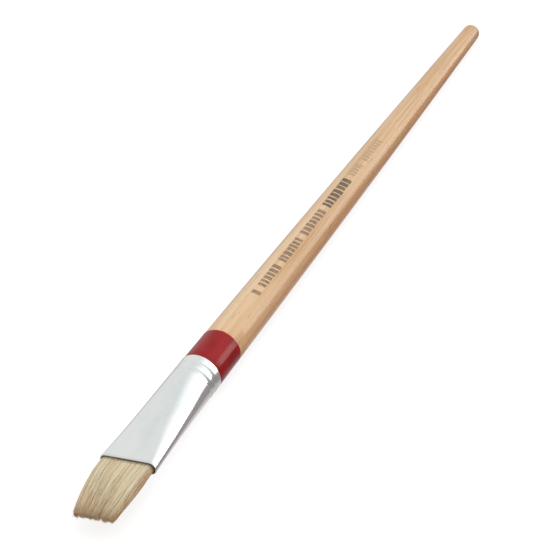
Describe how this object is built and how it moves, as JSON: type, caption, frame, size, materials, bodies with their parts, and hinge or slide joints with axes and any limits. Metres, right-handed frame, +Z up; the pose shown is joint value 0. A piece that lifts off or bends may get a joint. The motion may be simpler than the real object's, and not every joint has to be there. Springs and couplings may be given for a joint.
{
  "type": "flat bristle brush",
  "caption": "Long-handled flat bristle brush: turned wooden handle with a red lacquered neck, crimped metal ferrule and a springy flat tuft of natural bristle.",
  "frame": {"origin": "centre of the brush's bounding box, on the table that it lies on", "axes": "+Y along the brush from the bristles to the handle's butt, +X across the flat of the bristles, +Z up from the table and out of the brush's flat side"},
  "size_m": [0.0196, 0.3, 0.0148],
  "materials": {
    "wood": "satin",
    "red_lacquer": "gloss",
    "ferrule_metal": "polished",
    "resin": "gloss",
    "bristle": "satin"
  },
  "bodies": {
    "brush": {"handle": "wood", "lacquer_band": "red_lacquer", "ferrule": "ferrule_metal", "setting_resin": "resin", "bristle_roots": "bristle"},
    "tuft": {"bristle_tuft": "bristle"}
  },
  "joints": [
    {"name": "bristle_flex", "type": "hinge", "parent": "brush", "child": "tuft", "pos_m": [0, -0.12618, 0.00807], "axis": [1, 0, 0], "range_deg": [-45, 45], "stiffness_Nm_per_rad": 0.03}
  ]
}
